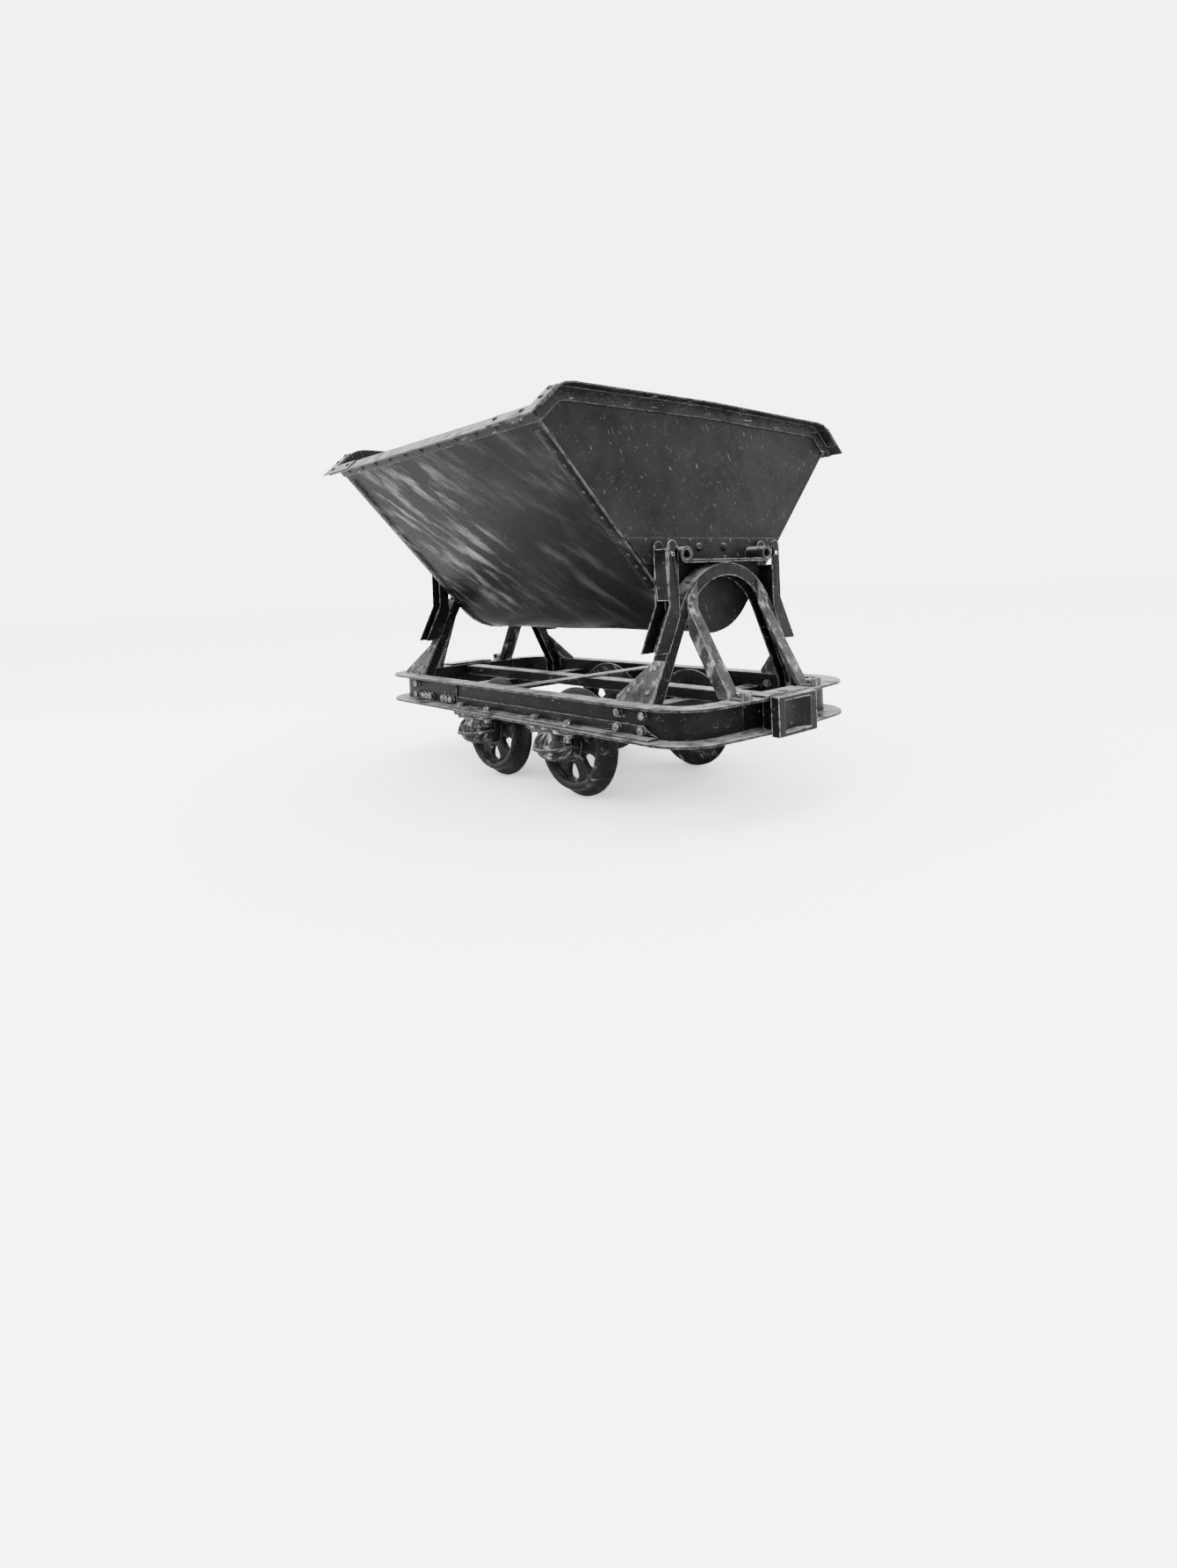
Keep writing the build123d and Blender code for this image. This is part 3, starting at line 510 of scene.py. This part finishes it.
# Plate ruled between the tub's section below and the shoulders and top edge above, slightly dished.
def makeEndPlates():
    t = np.linspace(0, 1, 160)
    low, _ = tubSection(t)
    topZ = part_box("end_plate_front")[1].z
    run = tub["shoulderRun"]
    bend = (halfLip - run * math.cos(sideAngle), lipZ + run * math.sin(sideAngle))
    shoulder = topZ - tub["crownDrop"]
    cornerIn, cornerDown = tub["corner"]
    half = [(halfLip, lipZ), bend, (bend[0] - cornerIn, shoulder - cornerDown),
            (halfLip - tub["shoulderIn"], shoulder)]
    crown = np.array([(-y, z) for y, z in half] + [(0, topZ)] + half[::-1])
    steps = np.concatenate([[0], np.cumsum(np.linalg.norm(np.diff(crown, axis=0), axis=1))])
    s = t * steps[-1]
    high = np.stack([np.interp(s, steps, crown[:, 0]), np.interp(s, steps, crown[:, 1])], -1)
    w = np.linspace(0, 1, 70)[:, None, None]
    face = low[None] * (1 - w) + high[None] * w
    fade = np.minimum(1, np.sin(math.pi * w[..., 0]) * 4) * np.minimum(1, np.sin(math.pi * t) * 5)[None]
    for end, side in (("front", 1), ("rear", -1)):
        lowX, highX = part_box("end_plate_" + end)
        inner, outer = sorted((lowX.x, highX.x), key=abs)
        dish = (waves(t[None], w[..., 0], 8 + side) * tub["dish"] - tub["dish"]) * fade * side
        shells = [np.concatenate([(edge + dish)[..., None], face], -1) for edge in (outer, inner)]
        rims = [(np.stack([shells[0][k], shells[1][k]]), False, False) for k in (0, -1)]
        makePiece("endPlateDished" + end.capitalize(), [(shell, False, False) for shell in shells] + rims,
                  "wornEndPlateSteel", "tub", ("end_plate_" + end,))


# Flat bands round the outside of the sheet at each end, and the small rivets that hold them.
def makeSeamBands():
    t = np.linspace(0.036, 0.964, 160)
    point, normal = tubSection(t)
    bands = []
    bases = []
    ways = []
    for side in (-1, 1):
        x = np.array([0, 0.004, tub["bandWidth"] - 0.004, tub["bandWidth"], tub["bandWidth"] - 0.001, 0.001])
        lift = np.array([0.0, tub["bandThick"], tub["bandThick"], 0.0, -0.001, -0.001])
        x = side * (sheetHigh.x - x)
        flat = point[None] + normal[None] * lift[:, None, None]
        along = np.broadcast_to(x[:, None, None], flat.shape[:2] + (1,))
        ring = np.concatenate([along, flat], -1)
        bands += [(ring, True, False)]
        bands += [(np.stack([ring[0:3, k], ring[5:2:-1, k]]), False, False) for k in (0, -1)]
        count = int(tub["seamLength"] / tub["seamPitch"])
        at = np.linspace(0.05, 0.95, count)
        spot, out = tubSection(at)
        rivetX = np.full(count, side * (sheetHigh.x - tub["seamInset"]))
        bases.append(np.column_stack([rivetX, spot + out * tub["bandThick"]]))
        ways.append(np.column_stack([np.zeros(count), out]))
    makePiece("seamBands", bands, "oiledSheetSteel", "tub")
    heads = domes(np.vstack(bases), np.vstack(ways), *tub["seamRivet"])
    makePiece("seamRivets", heads, "paintedAngleSteel", "tub")


# Domed heads in place of the plain ones: each solid's thinnest direction is its axis, towards its small end.
def makeRivets(node, finish, body):
    bases = []
    ways = []
    sizes = []
    for points in solidsOf(node):
        centre = points.mean(0)
        away = points - centre
        way = np.linalg.eigh(away.T @ away)[1][:, 0]
        height = away @ way
        radius = np.linalg.norm(away - height[:, None] * way, axis=1)
        if radius[height > 0].max() > radius[height < 0].max():
            way, height = -way, -height
        bases.append(centre + way * height.min())
        ways.append(way)
        sizes.append((radius.max(), height.max() - height.min()))
    patches = []
    for base, way, (radius, height) in zip(bases, ways, sizes):
        patches += domes(base, way, radius, height)
    makePiece(node + "_domed", patches, finish, body, (node,))


# Chamfered nuts on washers with threaded ends. outer and inner are (stand, nut height) at the bolt's two
# ends; the outer end is the one further from the middle of the cart, or the upper one.
def makeBolts(node, axis, outer, inner, across, boltRadius):
    patches = []
    for points in solidsOf(node):
        low, high = points.min(0), points.max(0)
        middle = (low + high) / 2
        out = np.zeros(3)
        out[axis] = 1.0 if axis == 2 or middle[axis] > 0 else -1.0
        reach = (high - low)[axis] / 2
        for way, (stand, nut) in ((out, outer), (-out, inner)):
            if stand:
                base = middle + way * (reach - stand)
                patches += washers(base, way, across * 0.62, 0.0025)
                patches += hexNuts(base + way * 0.0024, way, across, nut)
                patches += threadedEnd(base, way, boltRadius, stand)
        start = middle - out * (reach - (inner[0] or 0))
        length = 2 * reach - outer[0] - (inner[0] or 0)
        plain = np.array([[0, 0], [boltRadius, 0], [boltRadius, length], [0, length]])
        patches += turnings(start, out, plain, np.linspace(0, 2 * math.pi, 14, endpoint=False))
    makePiece(node + "_threaded", patches, "bareForgedSteel", "frame", (node,))


rivets = {                        # node: finish, body
    "tub_rivets": ("paintedAngleSteel", "tub"),
    "rim_rivets": ("paintedAngleSteel", "tub"),
    "trestle_rivets": ("bareForgedSteel", "frame"),
}
bolts = {                         # node: axis, outer and inner (stand, nut height), across flats, bolt radius
    "web_bolts": (1, (0.016, 0.011), (0.014, 0.009), 0.023, 0.007),
    "axle_box_bolts": (2, (0.018, 0.012), (0.008, 0.009), 0.026, 0.008),
    "strut_bolts": (2, (0.020, 0.013), (0, 0), 0.026, 0.007),
}


# the wheels
wheel = {"rimInner": 0.128, "tread": 0.150, "flange": 0.176, "holes": 6,
         "holeAt": 0.090, "hole": (0.019, 0.027), "web": 0.0105, "webReach": (0.044, 0.134), "cone": 0.012,
         "bore": 0.025, "hubIn": 0.029}


# The web between hub and rim. Each sector is a grid from the edge of its hole out to the sector's border, on
# the front and on the back, and the metal thickens from nothing at the hole's edge as a quarter ellipse.
def spokedWeb(y0, side):
    near, far = wheel["webReach"]
    count = wheel["holes"]
    halfArc = math.pi / count * wheel["holeAt"]
    halfRise = (far - near) / 2
    centre = (far + near) / 2
    a = np.linspace(-1, 1, 15)[:-1]
    one = np.ones(14)
    border = np.concatenate([np.stack([one, a], -1), np.stack([-a, one], -1), np.stack([-one, -a], -1),
                             np.stack([a, -one], -1)]) * [halfArc, halfRise]
    angle = np.arctan2(border[:, 1] / halfRise, border[:, 0] / halfArc)
    edge = np.stack([np.cos(angle), np.sin(angle)], -1) * wheel["hole"] + [0, wheel["holeAt"] - centre]
    w = np.concatenate([np.linspace(1, 0.3, 6)[:-1], 0.3 * np.linspace(1, 0, 7) ** 2])
    flat = edge[None] * (1 - w)[:, None, None] + border[None] * w[:, None, None]
    radius = flat[..., 1] + centre
    around = flat[..., 0] / wheel["holeAt"]
    swell = np.sqrt(np.clip(1 - (1 - np.minimum(w / 0.3, 1)) ** 2, 0, 1))[:, None]
    ends = np.clip(1 - (np.abs(radius - centre) / halfRise) ** 10, 0, 1) ** 0.5
    spoke = 1 + 0.25 * np.cos(np.clip((radius - near) / (far - near), 0, 1) * math.pi)
    half = wheel["web"] * swell * ends * spoke
    middle = y0 + side * wheel["cone"] * (1 - (radius - near) / (far - near)) * 0.6
    patches = []
    for k in range(count):
        theta = around + 2 * math.pi * k / count
        faces = []
        for sign in (1, -1):
            faces.append(np.stack([radius * np.sin(theta), middle + sign * half, radius * np.cos(theta)], -1))
        points = np.concatenate([faces[0], faces[1][::-1][1:]], 0)
        patches.append((points, False, True))
    return patches


# A closed outline of (radius, offset along the axle) turned about the axle.
def spun(outline, y0, side):
    theta = np.linspace(0, 2 * math.pi, 96, endpoint=False)
    radius = outline[:, 0][:, None]
    offset = y0 + side * outline[:, 1][:, None] + 0 * theta
    return (np.stack([radius * np.sin(theta), offset, radius * np.cos(theta)], -1), True, True)


def makeWheels():
    for end, bodyName in (("front", "wheelset_front"), ("rear", "wheelset_rear")):
        for hand, side in (("left", -1), ("right", 1)):
            node = "wheel_%s_%s" % (end, hand)
            low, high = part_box(node)
            centre = np.array([(low.x + high.x) / 2, 0, (low.z + high.z) / 2])
            inner = low.y if side > 0 else high.y    # the hub's inner face
            gauge = inner + side * wheel["hubIn"]
            rim = rounded([(wheel["rimInner"] - 0.002, -0.022), (wheel["flange"] - 0.004, -0.023),
                           (wheel["flange"] + 0.0010, -0.017), (wheel["flange"] + 0.0010, -0.009),
                           (wheel["flange"] - 0.010, -0.001), (wheel["tread"] + 0.003, 0.003),
                           (wheel["tread"] - 0.001, 0.038), (wheel["rimInner"] + 0.002, 0.0385),
                           (wheel["rimInner"] - 0.004, 0.030), (wheel["rimInner"] - 0.002, 0.008)], 2)
            rim[:, 0] = np.minimum(rim[:, 0], wheel["flange"])
            hub = rounded([(wheel["bore"] + 0.0002, -0.029), (0.047, -0.029), (0.051, -0.022), (0.055, 0.0),
                           (0.055, 0.018), (0.049, 0.046), (0.044, 0.051), (wheel["bore"] + 0.0002, 0.051)], 2)
            patches = spokedWeb(gauge + side * 0.008, side)
            patches += [spun(rim, gauge, side), spun(hub, gauge, side)]
            patches = [(points + centre, a, b) for points, a, b in patches]
            makePiece(node + "_cast", patches, "sandCastIron", bodyName, (node,), 50)


# the axle boxes
axleBox = {"half": 0.046, "inner": 0.345, "middle": 0.393, "hood": 0.057, "cup": 0.046,
           "lip": 0.013, "lipHigh": 0.011, "plate": 0.012, "plateDeep": (0.354, 0.412),
           "ribs": (-52, -18, 18, 52), "webWide": (0.030, 0.078), "webDeep": (0.372, 0.384),
           "webDown": (0.042, 0.008)}


# Plan of the box: straight sides that end in a half circle, grown outwards all round but at the back.
def boxOutline(grow, count=40):
    turnAngle = np.linspace(0, math.pi, count)
    r = axleBox["half"] + grow
    arc = np.stack([r * np.cos(turnAngle), axleBox["middle"] + r * np.sin(turnAngle)], -1)
    back = np.stack([np.linspace(-r, r, 9), np.full(9, axleBox["inner"])], -1)
    return np.vstack([arc, back])


# The outline drawn in towards the box's middle line as a superellipse while it rises to height.
def dome(height, power):
    rise = np.sin(np.linspace(0, math.pi / 2, 14))
    shrink = (1 - rise ** power) ** (1 / power)
    outline = boxOutline(0)
    spine = np.array([0, (axleBox["inner"] + axleBox["middle"]) / 2 - 0.010])
    reach = outline - spine
    plan = spine + reach[None] * shrink[:, None, None]
    plan[..., 1] = np.maximum(plan[..., 1], axleBox["inner"])
    z = np.broadcast_to((rise * height)[:, None, None], plan.shape[:2] + (1,))
    shell = np.concatenate([plan, z], -1)
    count = shell.shape[1]
    floor = np.concatenate([np.broadcast_to(spine, (1, count, 2)), np.zeros((1, count, 1))], -1)
    return np.concatenate([floor, shell], 0)


# The outline carried round a rounded cross-section, so that a half-round lip stands out all round the front.
def lipRing():
    turnAngle = np.linspace(0, 2 * math.pi, 12, endpoint=False)
    rows = []
    for a in turnAngle:
        plan = boxOutline(axleBox["lip"] * (0.42 + 0.58 * math.cos(a)))
        rows.append(np.column_stack([plan, np.full(len(plan), axleBox["lipHigh"] / 2 * math.sin(a))]))
    return np.array(rows)


# A rib that climbs the hood: a rounded strip that follows the hood's outline up to the bolted plate.
def hoodRib(degrees):
    a = math.radians(degrees)
    out = np.array([math.sin(a), math.cos(a)])
    along = np.array([out[1], -out[0]])
    rise = np.linspace(0, 1, 12)
    reach = axleBox["half"] * (1 - rise ** 2.4) ** (1 / 2.4) * 0.96 + 0.006 * (1 - rise)
    turnAngle = np.linspace(0, 2 * math.pi, 10, endpoint=False)
    across = 0.0055 * np.cos(turnAngle)
    proud = 0.0075 * np.sin(turnAngle)
    plan = (np.array([0, axleBox["middle"]]) + (reach[:, None] + proud)[..., None] * out
            + np.broadcast_to(across, (12, 10))[..., None] * along)
    z = np.broadcast_to((rise * (axleBox["hood"] - 0.004))[:, None, None], (12, 10, 1))
    points = np.concatenate([plan, z], -1)
    ends = [np.broadcast_to(points[k].mean(0), (1, 10, 3)) for k in (0, -1)]
    return np.concatenate([ends[0], points, ends[1]], 0)


# A slab with rounded corners and edges: a superellipse in plan, drawn in a little at the top and bottom.
def boltedPlate(low, high):
    turnAngle = np.linspace(0, 2 * math.pi, 64, endpoint=False)
    c, s = np.cos(turnAngle), np.sin(turnAngle)
    size = (high - low) / 2
    middle = (high + low) / 2
    plan = np.stack([np.sign(c) * np.abs(c) ** 0.22 * size[0], np.sign(s) * np.abs(s) ** 0.22 * size[1]], -1)
    rows = []
    for draw, level in ((0.0, -1), (0.975, -1), (1.0, -0.75), (1.0, 0.75), (0.975, 1), (0.0, 1)):
        z = np.full((64, 1), middle[2] + level * size[2])
        rows.append(np.concatenate([middle[:2] + plan * draw, z], -1))
    return np.array(rows)


def makeAxleBoxes():
    for end in ("front", "rear"):
        cups = []
        for hand, side in (("left", -1), ("right", 1)):
            node = "axle_box_%s_%s" % (end, hand)
            low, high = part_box(node)
            middle = np.array([(low.x + high.x) / 2, 0, low.z])
            flip = np.array([1, side, 1])
            top = high.z - low.z
            plateLow = np.array([low.x - middle[0], axleBox["plateDeep"][0], top - axleBox["plate"]])
            plateHigh = np.array([high.x - middle[0], axleBox["plateDeep"][1], top])
            patches = [(dome(axleBox["hood"], 2.4), False, True), (lipRing(), True, True),
                       (boltedPlate(plateLow, plateHigh), False, True)]
            patches += [(hoodRib(degrees), False, True) for degrees in axleBox["ribs"]]
            for dx in (-1, 1):    # webs from the hood out under the bolted plate
                wide = sorted(dx * reach for reach in axleBox["webWide"])
                webLow, webHigh = (np.array([wide[k], axleBox["webDeep"][k], top - axleBox["webDown"][k]])
                                   for k in (0, 1))
                patches.append((boltedPlate(webLow, webHigh), False, True))
            patches = [(points * flip + middle, a, b) for points, a, b in patches]
            makePiece(node + "_cast", patches, "dustyCastIron", "frame", (node,), 42)
            cup = dome(axleBox["cup"], 2.1) * np.array([1, 1, -1])
            cups.append((cup * flip + middle, False, True))
        makePiece("axle_cups_%s_cast" % end, cups, "dustyCastIron", "frame",
                  ("axle_cups_" + end,), 42)


makeTubSheet()
makeEndPlates()
makeSeamBands()
print("tub made")
for node, (finish, body) in rivets.items():
    makeRivets(node, finish, body)
for node, sizes in bolts.items():
    makeBolts(node, *sizes)
print("rivets and bolts made")
makeWheels()
makeAxleBoxes()
print("wheels and axle boxes made")

# the rolled, cast and forged pieces keep their CAD shape, with worn edges
bodyOf = {name: body for body, names in frame["record"]["behaviour"]["bodies"].items() for name in names}
wornNodes = [                     # start of the node's name, finish, edge radius in mm
    ("side_rim", "paintedAngleSteel", 1.6), ("end_rim", "paintedAngleSteel", 1.6),
    ("corner_straps", "paintedAngleSteel", 1.4), ("wall_plate", "wornEndPlateSteel", 1.4),
    ("rocker_bar", "paintedAngleSteel", 1.8), ("sole_channel", "rolledChannelSteel", 2.0),
    ("head_channel", "rolledChannelSteel", 2.0), ("head_plate", "rolledChannelSteel", 2.0),
    ("buffer", "rolledChannelSteel", 3.0), ("sole_angle", "paintedAngleSteel", 1.6),
    ("web_plate", "rolledChannelSteel", 1.4), ("draw_bar", "rolledChannelSteel", 1.4),
    ("centre_tie", "rolledChannelSteel", 1.4), ("cross_bearer", "rolledChannelSteel", 1.4),
    ("trestle_front", "rolledChannelSteel", 1.4), ("trestle_rear", "rolledChannelSteel", 1.4),
    ("post", "rolledChannelSteel", 1.4), ("leg_gussets", "flakedPaintSteel", 1.4),
    ("strut_front", "flakedPaintSteel", 1.6), ("strut_rear", "flakedPaintSteel", 1.6),
    ("latch", "rolledChannelSteel", 1.2)]
for start, finish, width in wornNodes:
    for node in sorted(nodes):
        if node.startswith(start):
            softEdged(node, finish, bodyOf[node], width)
for node, finish in (("axle_front", "bareForgedSteel"), ("axle_rear", "bareForgedSteel"),
                     ("rocker_shims", "rolledChannelSteel")):
    nodes[node].data.materials.clear()
    nodes[node].data.materials.append(materials[finish])
print("worn edges made")
